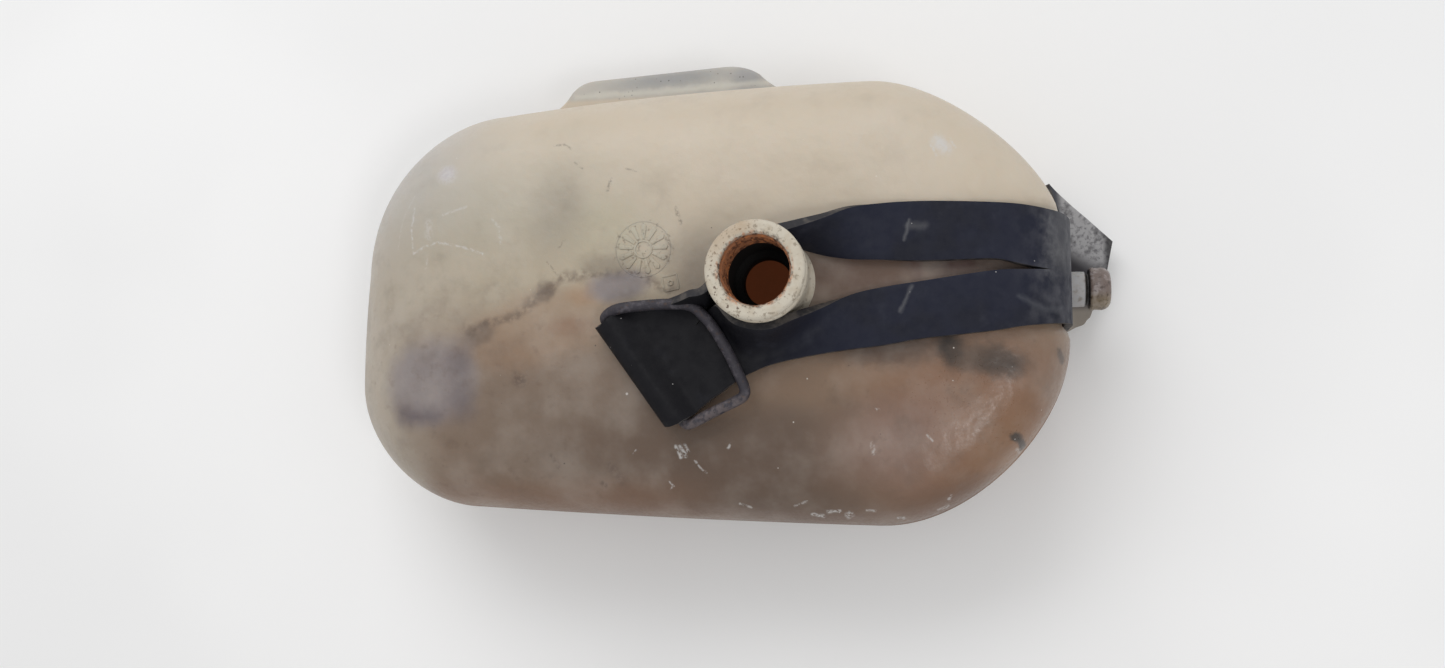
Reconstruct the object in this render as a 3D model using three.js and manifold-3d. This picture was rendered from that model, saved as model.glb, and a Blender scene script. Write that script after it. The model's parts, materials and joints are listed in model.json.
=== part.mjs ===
// Coolant expansion tank: two welded translucent shells, a threaded filler neck, an outlet nipple,
// and a slit rubber strap with a wire bail. Millimetres, +Z up out of the filler neck.
// The origin is the centre of the flat underside. +X points to the outlet, +Y to the moulded tab.

import * as THREE from 'three';
import { mergeVertices } from 'three/addons/utils/BufferGeometryUtils.js';
import Module from 'manifold-3d';

const wasm = await Module();
wasm.setup();

// ---- driving dimensions -------------------------------------------------------------------------

const GAP = 0.3;                 // air left between pieces that touch

const TANK_HEIGHT = 88;
const EDGE_RADIUS = 26;          // round-over of the top and bottom edges
const WALL = 3;
const PARTING_Z = 45;            // plane where the two shells are welded
const END_X = 148.6;             // half length of the tank
const LEAN = { left: 19, back: 8, backFrom: 30, backTo: 90, power: 1.2 };  // draft of two walls

const NECK = { x: 34.1, y: 3.7, top: 122, lipRadius: 18.4, boreRadius: 13.3, throatRadius: 9.2 };
const NECK_HOLE_RADIUS = 15.2;   // hole in the upper shell that takes the neck's spigot
const OUTLET = { y: 5.1, z: 36, stubRadius: 8, boreRadius: 4.5, stubEnd: 157.3, end: 166.5 };
const TAB = { top: 44, thickness: 4.4 };

const STRAP_THICKNESS = 3.2;
const STRAP_UNDERSIDE = TANK_HEIGHT + GAP;
const HINGE_X = 120;             // the strap bends here when it is lifted

const WIRE_RADIUS = 2;
const SLEEVE = {                 // folded end of the tongue, around the bail's base leg
  from: [-25.7, -12.9],
  to: [-1.5, -46.3],
  z: STRAP_UNDERSIDE + 5.6,
  outer: 5.4,
  bore: 2.7,
};

// ---- materials ----------------------------------------------------------------------------------

function material(color, roughness, metalness = 0) {
  return new THREE.MeshStandardMaterial({ color, roughness, metalness });
}

const tankPlastic = () => material(0xb9a88c, 0.55);
const neckPlastic = () => material(0xe2d8c4, 0.5);
const amberPlastic = () => material(0x7d7068, 0.3);
const rubber = () => material(0x30323c, 0.75);
const wireSteel = () => material(0x5f5c64, 0.5, 0.8);

// ---- solids -------------------------------------------------------------------------------------

function toSolid(geometry) {
  const bare = geometry.clone();
  bare.deleteAttribute('normal');
  bare.deleteAttribute('uv');
  const merged = mergeVertices(bare, 1e-4);
  const vertProperties = new Float32Array(merged.attributes.position.array);
  const triVerts = new Uint32Array(merged.index.array);
  return new wasm.Manifold(new wasm.Mesh({ numProp: 3, vertProperties, triVerts }));
}

function toGeometry(solid) {
  const { vertProperties, triVerts } = solid.getMesh();
  const geometry = new THREE.BufferGeometry();
  geometry.setAttribute('position', new THREE.BufferAttribute(vertProperties, 3));
  geometry.setIndex(new THREE.BufferAttribute(triVerts, 1));
  geometry.computeVertexNormals();
  return geometry;
}

function box(low, high) {
  const size = high.map((value, i) => value - low[i]);
  const middle = high.map((value, i) => (value + low[i]) / 2);
  return toSolid(new THREE.BoxGeometry(...size).translate(...middle));
}

// A cylinder or lathe turned so that its axis runs from `origin` along `direction`.
function place(geometry, origin, direction) {
  const turn = new THREE.Quaternion().setFromUnitVectors(
    new THREE.Vector3(0, 1, 0),
    new THREE.Vector3(...direction).normalize(),
  );
  return geometry.applyQuaternion(turn).translate(...origin);
}

function rod(from, to, radius, sides = 20) {
  const start = new THREE.Vector3(...from);
  const along = new THREE.Vector3(...to).sub(start);
  const geometry = new THREE.CylinderGeometry(radius, radius, along.length(), sides);
  geometry.translate(0, along.length() / 2, 0);
  return toSolid(place(geometry, from, along.toArray()));
}

function revolve(profile, origin, direction, segments) {
  const points = profile.map(([radius, height]) => new THREE.Vector2(radius, height));
  points.push(points[0].clone());
  return place(new THREE.LatheGeometry(points, segments), origin, direction);
}

// ---- tank shells --------------------------------------------------------------------------------

// Plan outline: four round corners joined by slightly bowed sides; it widens towards the outlet.
function tankOutline() {
  const shape = new THREE.Shape();
  shape.moveTo(-147.2, 15);
  shape.quadraticCurveTo(-END_X - 0.3, -8, -END_X, -32);
  shape.bezierCurveTo(-147.9, -61.5, -127.5, -81.2, -95, -82.3);
  shape.quadraticCurveTo(-1, -88.1, 75, -89.6);
  shape.bezierCurveTo(115.6, -89.8, END_X, -57.7, END_X, -18);
  shape.lineTo(END_X - 0.5, 20);
  shape.bezierCurveTo(END_X - 0.5, 59.2, 114.2, 91.4, 72, 91.6);
  shape.quadraticCurveTo(-10, 91.8, -85, 86.2);
  shape.bezierCurveTo(-121.9, 84.2, -146.8, 56.3, -147.2, 15);
  return shape;
}

// Leans the left and back walls inwards with their distance from the weld plane.
function leanIn(geometry) {
  const points = geometry.attributes.position;
  for (let i = 0; i < points.count; i += 1) {
    const x = points.getX(i);
    const y = points.getY(i);
    const fromWeld = points.getZ(i) - PARTING_Z;
    const reach = fromWeld > 0 ? TANK_HEIGHT - PARTING_Z : PARTING_Z;
    const rise = (Math.abs(fromWeld) / reach) ** LEAN.power;
    const leftness = THREE.MathUtils.smoothstep(-x, 0, END_X);
    const backness = THREE.MathUtils.smoothstep(y, LEAN.backFrom, LEAN.backTo);
    points.setXY(i, x + LEAN.left * rise * leftness, y - LEAN.back * rise * backness);
  }
  return geometry;
}

// The whole tank as one round-edged slab, pulled in by `inset` on every side.
function tankBody(inset) {
  const radius = EDGE_RADIUS - inset;
  const geometry = new THREE.ExtrudeGeometry(tankOutline(), {
    depth: TANK_HEIGHT - 2 * EDGE_RADIUS,
    steps: 2,
    bevelEnabled: true,
    bevelThickness: radius,
    bevelSize: radius,
    bevelOffset: -EDGE_RADIUS,
    bevelSegments: 5,
    curveSegments: 9,
  });
  return toSolid(leanIn(geometry.translate(0, 0, EDGE_RADIUS)));
}

// Flat web on the parting plane, with a sloping top edge and round ends that run into the tank.
function tabWeb() {
  const shape = new THREE.Shape();
  shape.moveTo(-68, 78);
  shape.lineTo(-68, 87);
  shape.quadraticCurveTo(-62.5, 88.5, -58.5, 95);
  shape.quadraticCurveTo(-54.5, 100.2, -47.4, 100.6);
  shape.lineTo(8, 103.7);
  shape.quadraticCurveTo(18, 104.4, 24.5, 99.8);
  shape.quadraticCurveTo(31.5, 92.4, 39, 91.4);
  shape.lineTo(39, 78);
  const geometry = new THREE.ExtrudeGeometry(shape, {
    depth: TAB.thickness,
    bevelEnabled: false,
    curveSegments: 5,
  });
  return toSolid(geometry.translate(0, 0, TAB.top - TAB.thickness));
}

function upperShell() {
  const above = box([-200, -120, PARTING_Z + GAP / 2], [200, 120, TANK_HEIGHT + 5]);
  const neckHole = rod([NECK.x, NECK.y, TANK_HEIGHT - 10], [NECK.x, NECK.y, TANK_HEIGHT + 5],
    NECK_HOLE_RADIUS, 40);
  return tankBody(0).subtract(tankBody(WALL)).intersect(above).subtract(neckHole);
}

function lowerShell() {
  const below = box([-200, -120, -5], [200, 120, PARTING_Z - GAP / 2]);
  const { y, z, stubRadius, boreRadius, stubEnd } = OUTLET;
  const stub = rod([END_X - 5, y, z], [stubEnd, y, z], stubRadius, 32);
  const bore = rod([END_X - 15, y, z], [stubEnd + 5, y, z], boreRadius + 1.6, 32);
  return tankBody(0).add(tabWeb()).add(stub)
    .subtract(tankBody(WALL)).intersect(below).subtract(bore);
}

// ---- neck and outlet ----------------------------------------------------------------------------

// Profile heights are measured from the tank's top face.
function fillerNeck() {
  const { lipRadius, boreRadius, throatRadius, top } = NECK;
  const height = top - TANK_HEIGHT;
  const spigot = NECK_HOLE_RADIUS - GAP;
  const outside = [
    [throatRadius, -5], [spigot, -5], [spigot, GAP], [17.4, GAP], [17.4, 2], [16.4, 4],
    [16.4, height - 11], [17.8, height - 10], [18.3, height - 8.5], [17.8, height - 7],
    [17.2, height - 6.2], [lipRadius - 0.4, height - 5], [lipRadius, height - 3.4],
    [lipRadius - 0.5, height - 1.2], [lipRadius - 1.6, height],
  ];
  const thread = [];
  const pitch = 3.2;
  for (let turn = 0; turn < 4; turn += 1) {
    const crest = height - 5 - turn * pitch;
    thread.push([boreRadius, crest + 1], [boreRadius - 0.8, crest], [boreRadius, crest - 1]);
  }
  const inside = [
    [boreRadius + 1, height], [boreRadius, height - 1.6], ...thread,
    [boreRadius - 0.5, height - 17.5], [boreRadius - 0.5, 2], [throatRadius, 0.5],
  ];
  return revolve([...outside, ...inside], [NECK.x, NECK.y, TANK_HEIGHT], [0, 0, 1], 40);
}

// Amber barrel whose tail is held in the stub of the lower shell.
function outletNipple() {
  const { y, z, boreRadius, stubEnd, end } = OUTLET;
  const tail = boreRadius + 1.3;
  const profile = [
    [boreRadius, END_X - 8], [tail, END_X - 8], [tail, stubEnd + GAP], [7.9, stubEnd + GAP],
    [8.5, stubEnd + 1.4], [8.7, stubEnd + 4], [8.4, end - 3], [7.4, end - 1], [6.2, end],
    [boreRadius, end],
  ];
  return revolve(profile, [0, y, z], [1, 0, 0], 32);
}

// ---- strap --------------------------------------------------------------------------------------

// A band between two edge curves, laid on its underside and thickened along its own normal.
function ribbon(edgeA, edgeB, { thickness = STRAP_THICKNESS, steps = 24 } = {}) {
  const curves = [edgeA, edgeB].map((points) => new THREE.CatmullRomCurve3(
    points.map((point) => new THREE.Vector3(...point)), false, 'centripetal'));
  const normalAt = (u) => {
    const step = 0.01;
    const middle = (t) => curves[0].getPoint(t).lerp(curves[1].getPoint(t), 0.5);
    const along = middle(Math.min(1, u + step)).sub(middle(Math.max(0, u - step)));
    const side = curves[1].getPoint(u).sub(curves[0].getPoint(u));
    return along.cross(side).normalize();
  };
  const geometry = new THREE.BoxGeometry(1, 1, 1, steps, 1, 1);
  const position = geometry.attributes.position;
  for (let i = 0; i < position.count; i += 1) {
    const u = position.getX(i) + 0.5;
    const v = position.getY(i) + 0.5;
    const lift = thickness * (position.getZ(i) + 0.5);
    const point = curves[0].getPoint(u).lerp(curves[1].getPoint(u), v);
    point.addScaledVector(normalAt(u), lift);
    position.setXYZ(i, point.x, point.y, point.z);
  }
  return toSolid(geometry);
}

// The band comes over the shoulder, down the end wall and out under the outlet as a flared foot.
function strapAnchor() {
  const base = STRAP_UNDERSIDE;
  const start = HINGE_X + GAP;
  const wall = END_X + 2 * GAP;
  const shoulder = (degrees, y) => {
    const angle = THREE.MathUtils.degToRad(degrees);
    const radius = EDGE_RADIUS + 2 * GAP;
    const centreZ = TANK_HEIGHT - EDGE_RADIUS;
    return [END_X - EDGE_RADIUS + radius * Math.cos(angle), y, centreZ + radius * Math.sin(angle)];
  };
  const nearEdge = [
    [start, -16.5, base], shoulder(72, -15.8), shoulder(48, -15.2), shoulder(24, -14.8),
    shoulder(0, -14.4), [wall, -14.2, 44], [wall, -14, 26], [150.5, -12, 17], [153.5, -9.5, 10],
    [157, -7.5, 6], [160, -6, 5],
  ];
  const farEdge = [
    [start, 31.2, base], shoulder(72, 30.4), shoulder(48, 29.4), shoulder(24, 28.6),
    shoulder(0, 28), [wall, 28.4, 44], [wall, 32, 28], [148.2, 43, 18], [146.5, 51, 11],
    [158, 41, 6.5], [169, 29, 5],
  ];
  const band = ribbon(nearEdge, farEdge, { steps: 44, thickness: 3.6 });
  const bead = rod([160, -4.5, 7], [169, 27.5, 7], 4.4, 14);
  const slit = new THREE.Shape();
  slit.moveTo(HINGE_X - 2, 5.6);
  slit.lineTo(END_X - 5, 6.2);
  slit.lineTo(END_X - 5, 7.4);
  slit.lineTo(HINGE_X - 2, 10.4);
  const slitCut = toSolid(new THREE.ExtrudeGeometry(slit, { depth: 40, bevelEnabled: false })
    .translate(0, 0, 60));
  const eyelet = rod([END_X - 6, OUTLET.y, OUTLET.z], [END_X + 8, OUTLET.y, OUTLET.z],
    OUTLET.stubRadius + 0.7, 28);
  return band.add(bead).subtract(slitCut).subtract(eyelet);
}

// The upper strand lies flat at the shoulder, turns on edge to wrap the neck, and runs on beside
// the tongue as its turned-up edge.
function upperStrand() {
  const base = STRAP_UNDERSIDE;
  const start = HINGE_X - GAP;
  const top = base + 20;
  const wrap = (degrees, z) => {
    const angle = THREE.MathUtils.degToRad(degrees);
    const radius = NECK.lipRadius + STRAP_THICKNESS + 1.4;
    return [NECK.x - 5.8 + radius * Math.cos(angle), NECK.y + radius * Math.sin(angle), z];
  };
  const outer = [
    [start, 31.2, base], [106, 32.1, base], [92, 32.6, base + 0.3], [78, 32, base + 3],
    [66, 30.4, base + 9], [55.6, 28.4, base + 15.5], [44, 26.4, top], wrap(95, top), wrap(125, top),
    wrap(155, top), wrap(178, top - 1), [3.6, 1.6, base + 17], [-1, -0.4, base + 14],
    [-7, -1.5, base + 10], [-12, -2.2, base + 7],
  ];
  const inner = [
    [start, 10.4, base], [106, 10.2, base], [92, 10.2, base], [79, 11, base],
    [68, 13, base], [59, 17, base], [45.5, 24.5, base], wrap(95, base), wrap(125, base),
    wrap(155, base), wrap(178, base), [3.6, 1.6, base], [-1, -0.4, base], [-7, -1.5, base],
    [-12, -2.2, base],
  ];
  return ribbon(outer, inner, { steps: 44 });
}

// The lower strand stays flat and leans up a little where it passes in front of the neck.
function lowerStrand() {
  const base = STRAP_UNDERSIDE;
  const start = HINGE_X - GAP;
  const inner = [
    [start, 5.6, base], [100, 3.2, base], [80, 0.6, base], [64, -3.4, base + 0.6],
    [53, -9.6, base + 2], [43, -16.4, base + 3], [33, -18.6, base + 2.6], [24, -18.8, base + 1],
    [14.4, -17.5, base],
  ];
  const outer = [
    [start, -16.5, base], [100, -18.4, base], [80, -21.3, base], [64, -23.2, base],
    [53, -25, base], [43, -27.4, base], [34, -30, base], [27, -33, base], [20.5, -37, base],
  ];
  return ribbon(inner, outer, { steps: 30 });
}

// Past the neck the strands join into one tongue, whose end is folded into a sleeve for the bail.
function strapTongue() {
  const base = STRAP_UNDERSIDE;
  const nearNeck = [
    [8.8, -2.4, base], [1.2, -4.6, base], [-6.6, -6.8, base], [-14, -9.2, base], [-20, -11.2, base],
    [-25.7, -12.9, base],
  ];
  const farSide = [
    [19.6, -37.6, base], [15.6, -40, base], [11.4, -42, base], [7, -43.9, base],
    [2.7, -45.4, base], [-1.5, -46.3, base],
  ];
  const plate = ribbon(nearNeck, farSide, { steps: 16 });
  const from = [...SLEEVE.from, SLEEVE.z];
  const to = [...SLEEVE.to, SLEEVE.z];
  const sleeve = rod(from, to, SLEEVE.outer, 20);
  const along = new THREE.Vector3(...to).sub(new THREE.Vector3(...from)).multiplyScalar(0.1);
  const beyond = (point, sign) => point.map((value, i) => value + sign * along.getComponent(i));
  const bore = rod(beyond(from, -1), beyond(to, 1), SLEEVE.bore, 20);
  return plate.add(sleeve).subtract(bore);
}

// ---- wire bail ----------------------------------------------------------------------------------

// One bent wire. Its two ends meet inside the sleeve, a little apart.
function wireBail() {
  const from = new THREE.Vector3(...SLEEVE.from, SLEEVE.z);
  const to = new THREE.Vector3(...SLEEVE.to, SLEEVE.z);
  const along = to.clone().sub(from).normalize();
  const middle = from.clone().lerp(to, 0.5);
  const corners = [
    from.clone().addScaledVector(along, -7.4),
    new THREE.Vector3(8.4, -7.6, SLEEVE.z + 2.6),
    new THREE.Vector3(27.2, -39.6, SLEEVE.z + 1.6),
    to.clone().addScaledVector(along, 6),
  ];
  const path = new THREE.CurvePath();
  const bend = 6;
  let last = middle.clone().addScaledVector(along, -1);
  corners.forEach((corner, i) => {
    const next = i < 3 ? corners[i + 1] : middle.clone().addScaledVector(along, 1);
    const entry = corner.clone().lerp(last, Math.min(0.5, bend / corner.distanceTo(last)));
    const exit = corner.clone().lerp(next, Math.min(0.5, bend / corner.distanceTo(next)));
    path.add(new THREE.LineCurve3(last, entry));
    path.add(new THREE.QuadraticBezierCurve3(entry, corner, exit));
    last = exit;
  });
  path.add(new THREE.LineCurve3(last, middle.clone().addScaledVector(along, 1)));
  const section = new THREE.Shape();
  section.absarc(0, 0, WIRE_RADIUS, 0, 2 * Math.PI);
  return new THREE.ExtrudeGeometry(section, { steps: 90, extrudePath: path, curveSegments: 5 });
}

// ---- assembly -----------------------------------------------------------------------------------

const group = new THREE.Group();

function addPiece(name, shape, finish) {
  const geometry = shape.isBufferGeometry ? shape : toGeometry(shape);
  const mesh = new THREE.Mesh(geometry, finish);
  mesh.name = name;
  group.add(mesh);
}

addPiece('upper_shell', upperShell(), tankPlastic());
addPiece('lower_shell', lowerShell(), tankPlastic());
addPiece('filler_neck', fillerNeck(), neckPlastic());
addPiece('outlet_nipple', outletNipple(), amberPlastic());
addPiece('strap_anchor', strapAnchor(), rubber());
addPiece('strap_upper_strand', upperStrand(), rubber());
addPiece('strap_lower_strand', lowerStrand(), rubber());
addPiece('strap_tongue', strapTongue(), rubber());
addPiece('wire_bail', wireBail(), wireSteel());

export default group;
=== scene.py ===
"""Look of a used coolant expansion tank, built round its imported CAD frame. Blender 4.5, metres.

Lengths inside the shape functions are millimetres; mesh_object() turns them into metres.
+X points to the outlet, +Y to the moulded tab, and +Z out of the filler neck.
"""

import json
from functools import reduce
from math import cos, dist, pi, radians, sin, tan

import bpy
import bmesh
import numpy as np
from mathutils import Matrix, Vector, noise
from mathutils.bvhtree import BVHTree


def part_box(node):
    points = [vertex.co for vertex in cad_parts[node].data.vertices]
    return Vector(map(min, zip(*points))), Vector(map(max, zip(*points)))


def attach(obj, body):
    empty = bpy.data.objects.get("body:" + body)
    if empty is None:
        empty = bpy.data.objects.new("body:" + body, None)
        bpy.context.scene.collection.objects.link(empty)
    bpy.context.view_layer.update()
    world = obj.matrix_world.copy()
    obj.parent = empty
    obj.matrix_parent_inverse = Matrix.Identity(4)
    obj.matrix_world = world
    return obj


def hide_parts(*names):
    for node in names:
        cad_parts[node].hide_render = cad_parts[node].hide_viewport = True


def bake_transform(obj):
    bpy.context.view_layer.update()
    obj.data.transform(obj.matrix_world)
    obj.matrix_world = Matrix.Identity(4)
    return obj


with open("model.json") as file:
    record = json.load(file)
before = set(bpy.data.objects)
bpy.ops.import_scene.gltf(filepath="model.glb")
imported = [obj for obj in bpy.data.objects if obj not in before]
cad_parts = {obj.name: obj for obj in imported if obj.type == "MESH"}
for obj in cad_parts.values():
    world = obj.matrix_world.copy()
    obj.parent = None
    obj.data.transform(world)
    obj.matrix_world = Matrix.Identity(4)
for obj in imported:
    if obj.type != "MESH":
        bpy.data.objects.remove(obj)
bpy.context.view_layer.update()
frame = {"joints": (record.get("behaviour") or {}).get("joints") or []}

MM = 0.001


# ---- sizes taken from the frame, in millimetres ----

def node_box(name):
    low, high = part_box(name)
    return np.array(low) / MM, np.array(high) / MM


TANK_TOP = node_box("upper_shell")[1][2]
NECK_LOW, NECK_HIGH = node_box("filler_neck")
NECK_TOP = NECK_HIGH[2]
NECK_CENTRE = (NECK_LOW[:2] + NECK_HIGH[:2]) / 2
LIP_RADIUS = (NECK_HIGH[0] - NECK_LOW[0]) / 2
NIPPLE_LOW, NIPPLE_HIGH = node_box("outlet_nipple")
NIPPLE_Y = (NIPPLE_LOW[1] + NIPPLE_HIGH[1]) / 2
NIPPLE_Z = (NIPPLE_LOW[2] + NIPPLE_HIGH[2]) / 2
NIPPLE_END = NIPPLE_HIGH[0]

HALF_LENGTH = -node_box("lower_shell")[0][0]
WALL = 3.0
PARTING_Z = 45.0
ROUND_OVER = 60.0          # plan distance over which the shells curve from the wall to the flat
ROUND_POWER = 4.0          # exponent of that curve
LEAN_LEFT = 19.0           # how far the left wall leans in by the top, and the back wall
LEAN_BACK = 8.0
LEAN_POWER = 1.2
STRAP_RECESS = 3.0         # how far the right wall is set back where the strap lies against it
WELD_BEAD = 0.6            # how far the weld stands out of the wall
BORE_RADIUS = 13.3
THROAT_RADIUS = 9.2
STRAP_THICKNESS = 3.2
STRAP_Z = TANK_TOP + 0.3     # underside of the strap where it lies on the tank
TAB_TOP = 44.0
TAB_THICKNESS = 4.4
WIRE_RADIUS = 2.1
BARREL_START = 157.2       # where the outlet's barrel begins in sight, past the bare stub


# ---- mesh helpers ----

def in_scene(name, data):
    obj = bpy.data.objects.new(name, data)
    bpy.context.scene.collection.objects.link(obj)
    return obj


def mesh_object(name, points, faces, materials):
    """A mesh object from millimetre points, smooth but for edges that turn over 40 degrees."""
    mesh = bpy.data.meshes.new(name)
    mesh.from_pydata([tuple(float(c) * MM for c in p) for p in points], [], faces)
    mesh.validate()
    mesh.shade_smooth()
    obj = in_scene(name, mesh)
    for made in materials:
        mesh.materials.append(made)
    face_outwards(obj)
    mesh.set_sharp_from_angle(angle=radians(40))
    return obj


def face_outwards(obj):
    edit = bmesh.new()
    edit.from_mesh(obj.data)
    bmesh.ops.recalc_face_normals(edit, faces=edit.faces)
    edit.to_mesh(obj.data)
    edit.free()


def modifier(obj, kind, **values):
    made = obj.modifiers.new(kind.lower(), kind)
    for name, value in values.items():
        setattr(made, name, value)


def apply_modifiers(obj):
    """Replaces the object's mesh by its evaluated one and clears its modifiers."""
    graph = bpy.context.evaluated_depsgraph_get()
    made = bpy.data.meshes.new_from_object(obj.evaluated_get(graph), preserve_all_data_layers=True,
                                           depsgraph=graph)
    obj.modifiers.clear()
    obj.data = made
    return obj


def grid_faces(rows, columns, start=0, close_rows=False, close_columns=False):
    """Quads between points stored row after row."""
    faces = []
    for i in range(rows - (not close_rows)):
        here, ahead = (start + k % rows * columns for k in (i, i + 1))
        for j in range(columns - (not close_columns)):
            beside = (j + 1) % columns
            faces.append((here + j, here + beside, ahead + beside, ahead + j))
    return faces


def capped_rings(rings, count):
    """Faces of stacked rings with a face across each end."""
    last = (rings - 1) * count
    return grid_faces(rings, count, close_columns=True) + [tuple(range(count)),
                                                           tuple(range(last, last + count))]


def unit(rows):
    return rows / np.linalg.norm(rows, axis=1)[:, None]


def inward_of(outline):
    """Unit vectors from each point of an anticlockwise outline to its inside."""
    along = np.roll(outline, -1, axis=0) - np.roll(outline, 1, axis=0)
    return unit(np.stack([-along[:, 1], along[:, 0]], 1))


def joined(parts):
    """Several (points, faces) solids as one."""
    points, faces = [], []
    for more_points, more_faces in parts:
        start = len(points)
        points.extend([tuple(p) for p in more_points])
        faces.extend([tuple(start + k for k in face) for face in more_faces])
    return points, faces


def smoothstep(x):
    x = np.clip(x, 0.0, 1.0)
    return x * x * (3 - 2 * x)


def wave(point, size, seed=0.0):
    """Smooth noise between about -1 and 1 at a point, with features of the given size."""
    return noise.noise(Vector((point[0] / size + seed, point[1] / size, point[2] / size)))


def catmull_rom(rows, steps):
    """Smooth curve through the rows, which are points or flat arrays of several, in even steps."""
    rows = np.array(rows, float)
    padded = np.concatenate([[2 * rows[0] - rows[1]], rows, [2 * rows[-1] - rows[-2]]])
    out = []
    for i in range(len(rows) - 1):
        a, b, c, d = padded[i:i + 4]
        for t in np.arange(steps) / steps:
            out.append(0.5 * (2 * b + (c - a) * t + (2 * a - 5 * b + 4 * c - d) * t ** 2
                              + (3 * b - a - 3 * c + d) * t ** 3))
    out.append(rows[-1])
    return np.array(out)


def resampled(points, count, closed=False):
    """Points at even distances along a polyline."""
    points = np.array(points, float)
    if closed:
        points = np.concatenate([points, points[:1]])
    run = np.concatenate([[0], np.cumsum(np.linalg.norm(np.diff(points, axis=0), axis=1))])
    at = np.linspace(0, run[-1], count, endpoint=not closed)
    return np.stack([np.interp(at, run, points[:, k]) for k in range(points.shape[1])], 1)


def bezier(*controls, steps):
    """A Bezier curve of any degree, without its last point."""
    t = np.linspace(0, 1, steps, endpoint=False)[:, None]
    level = [np.array(c, float) * np.ones_like(t) for c in controls]
    while len(level) > 1:
        level = [a * (1 - t) + b * t for a, b in zip(level, level[1:])]
    return level[0]


def revolved(profile, place, axis="z", segments=128, wobble=None):
    """A solid turned about an axis through a place, from a closed profile of (radius, height)."""
    points = []
    for radius, height in profile:
        for k in range(segments):
            angle = 2 * pi * k / segments
            r, h = (radius, height) if wobble is None else wobble(radius, height, angle)
            a, b = r * cos(angle), r * sin(angle)
            offset = (a, b, h) if axis == "z" else (h, a, b)
            points.append(tuple(p + q for p, q in zip(place, offset)))
    return points, grid_faces(len(profile), segments, close_rows=True, close_columns=True)


def tube(path, radius, sides=18):
    """A round bar along a path, with domed ends."""
    path = np.array(path, float)
    run = unit(np.gradient(path, axis=0))
    side = np.cross(run[0], (0.3, 0.2, 1.0))
    rings = []
    for place, ahead in zip(path, run):
        side = side - ahead * (side @ ahead)
        side /= np.linalg.norm(side)
        rings.append((place, side, np.cross(ahead, side), radius))
    for end, sign in ((0, -1), (-1, 1)):
        place, side, up, _ = rings[end]
        dome = [(place + sign * run[end] * radius * cos(t), side, up, radius * sin(t))
                for t in np.radians((60, 35, 15))]
        rings = rings + dome if sign > 0 else dome[::-1] + rings
    points = []
    for place, side, up, r in rings:
        for angle in 2 * pi * np.arange(sides) / sides:
            points.append(place + r * (cos(angle) * side + sin(angle) * up))
    return points, capped_rings(len(rings), sides)


def slab(outline, low, high, rounding):
    """A flat plate of a closed outline, anticlockwise from above, with rounded edges."""
    outline = np.array(outline, float)
    inward = inward_of(outline)
    arc = [(rounding * (1 - sin(t)), rounding * (1 - cos(t)))
           for t in np.radians((0, 22, 45, 68, 90))]
    levels = [(inset, low + rise) for inset, rise in arc]
    levels += [(inset, high - rise) for inset, rise in reversed(arc)]
    points = np.concatenate([np.column_stack([outline + inward * inset, np.full(len(outline), z)])
                             for inset, z in levels])
    return points, capped_rings(len(levels), len(outline))


# ---- node helpers ----

def colour(red, green, blue):
    """An sRGB colour of 0 to 255 as the linear colour that a shader takes."""
    def linear(value):
        value /= 255
        return value / 12.92 if value <= 0.04045 else ((value + 0.055) / 1.055) ** 2.4
    return (linear(red), linear(green), linear(blue), 1.0)


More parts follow.
